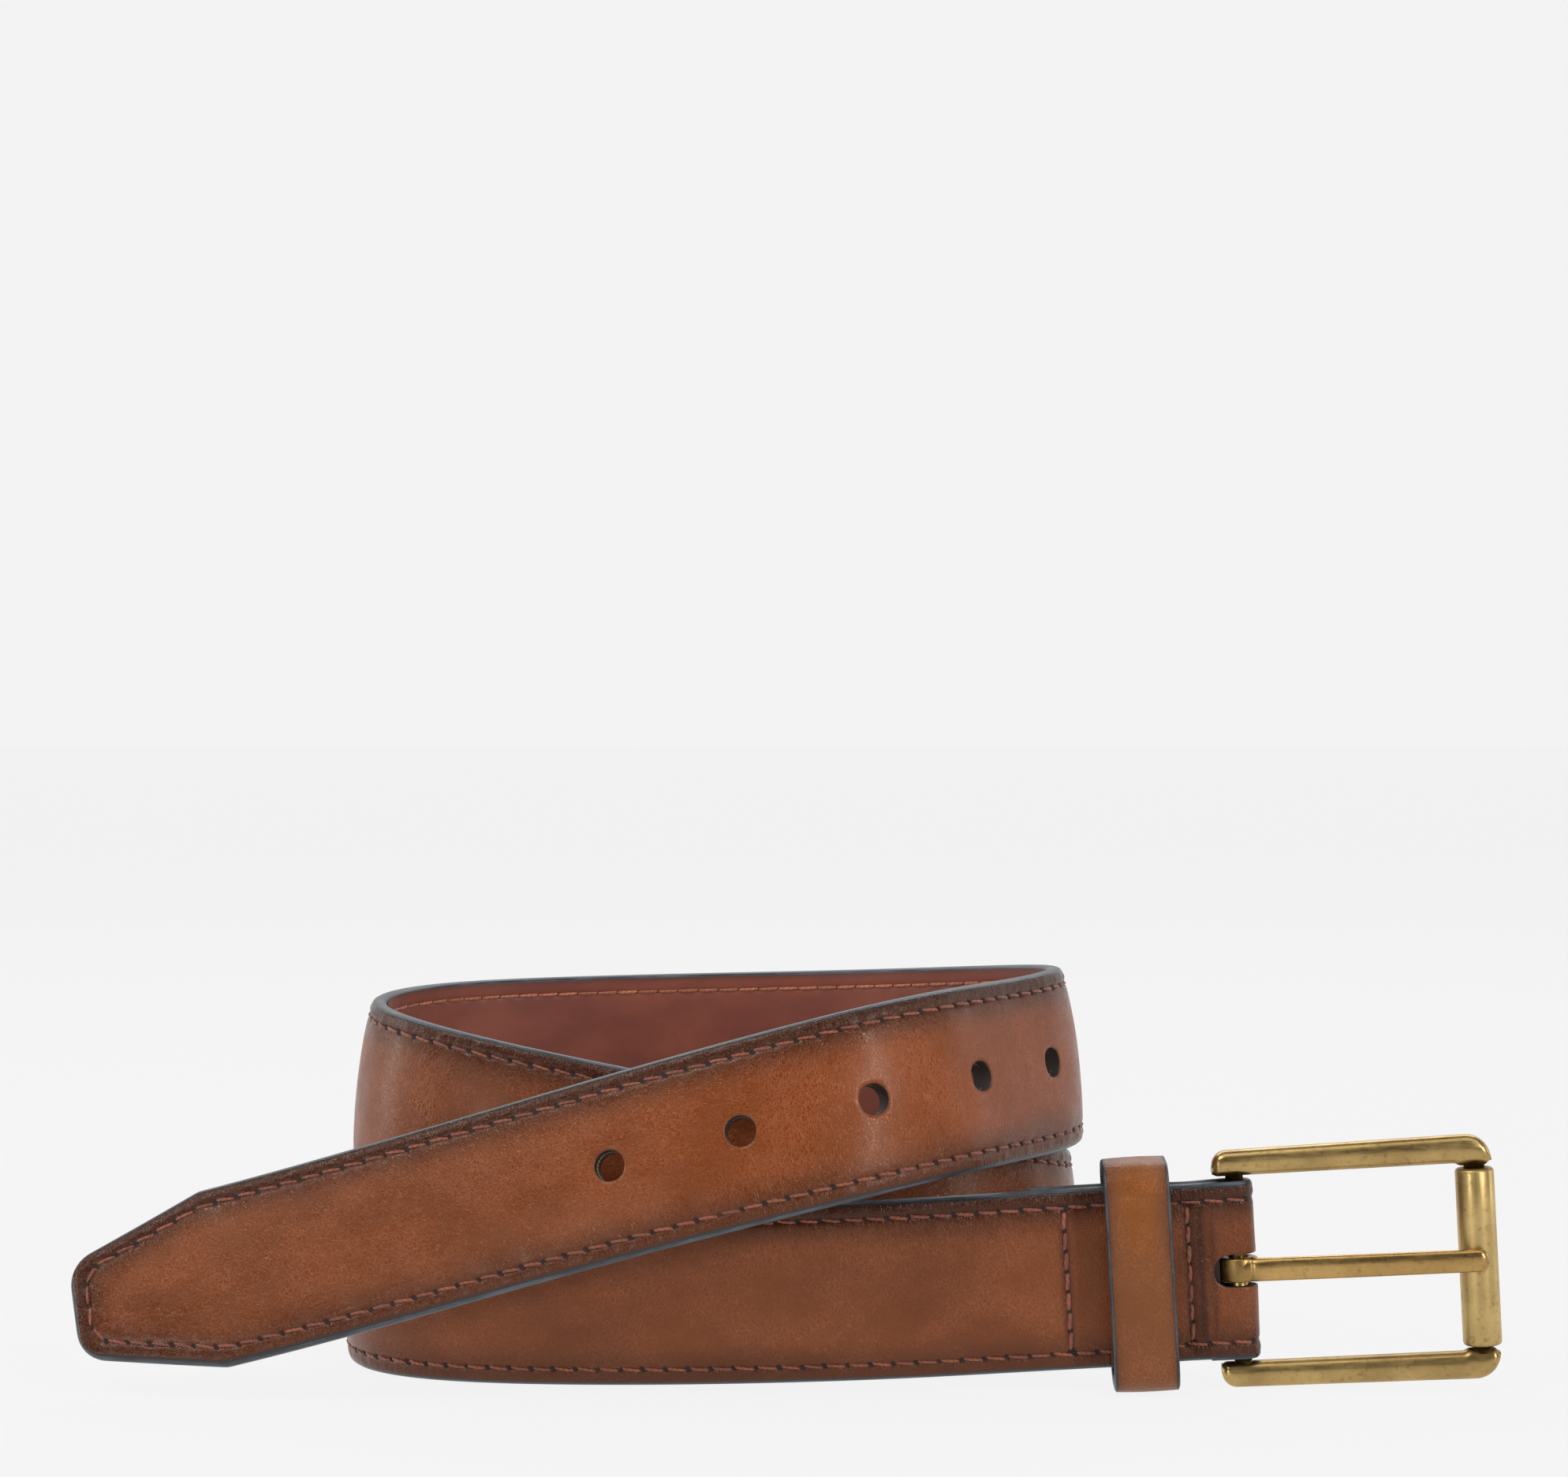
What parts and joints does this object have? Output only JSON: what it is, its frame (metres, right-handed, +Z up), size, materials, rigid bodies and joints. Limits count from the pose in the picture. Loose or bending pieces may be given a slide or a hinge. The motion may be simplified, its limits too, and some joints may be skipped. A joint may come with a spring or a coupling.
{
  "type": "leather belt",
  "caption": "Leather dress belt rolled into a standing coil, with a crowned stitched strap, pointed punched end, loose keeper loop and a heel-bar buckle with prong and roller.",
  "frame": {"origin": "on the surface the rolled belt stands on, under the middle of its bounding box", "axes": "+X from the pointed end towards the buckle, +Y to the back of the roll, +Z up"},
  "size_m": [0.2726, 0.1054, 0.0776],
  "materials": {
    "top_leather": "burnished brown face leather, semi-gloss, darker towards the edges, dark painted edge",
    "lining_leather": "smooth reddish brown lining leather, satin",
    "core_filler": "plain bonded leather board, matte, hidden between the two leathers",
    "edge_stitch_face": "rust brown sewing thread",
    "edge_stitch_lining": "light tan sewing thread",
    "cross_stitch_buckle": "rust brown sewing thread",
    "cross_stitch_return": "rust brown sewing thread",
    "keeper_leather": "burnished tan face leather, semi-gloss, dark painted edge",
    "keeper_lining": "smooth reddish brown lining leather, satin",
    "buckle_frame": "antiqued brass, satin, dark patina in the recesses",
    "prong": "antiqued brass, satin",
    "roller": "antiqued brass, fine brushed satin"
  },
  "bodies": {
    "strap": {"top_leather": "top_leather", "lining_leather": "lining_leather", "core_filler": "core_filler", "edge_stitch_face": "edge_stitch_face", "edge_stitch_lining": "edge_stitch_lining", "cross_stitch_buckle": "cross_stitch_buckle", "cross_stitch_return": "cross_stitch_return"},
    "keeper": {"keeper_leather": "keeper_leather", "keeper_lining": "keeper_lining"},
    "frame": {"buckle_frame": "buckle_frame"},
    "prong": {"prong": "prong"},
    "roller": {"roller": "roller"}
  },
  "joints": [
    {"name": "frame_swing", "type": "hinge", "parent": "strap", "child": "frame", "pos_m": [0.08617, -0.02771, 0.02293], "axis": [-0.056, -0.002, 0.9984], "range_deg": [-40, 40]},
    {"name": "prong_lift", "type": "hinge", "parent": "frame", "child": "prong", "pos_m": [0.08617, -0.02771, 0.02293], "axis": [0.056, 0.002, -0.9984], "range_deg": [0, 50]},
    {"name": "roller_spin", "type": "hinge", "parent": "frame", "child": "roller", "pos_m": [0.13168, -0.02897, 0.02547], "axis": [-0.056, -0.002, 0.9984], "continuous": true},
    {"name": "keeper_slide", "type": "slide", "parent": "strap", "child": "keeper", "axis": [-0.9978, 0.024, -0.061], "range_m": [-0.002, 0.006]}
  ]
}
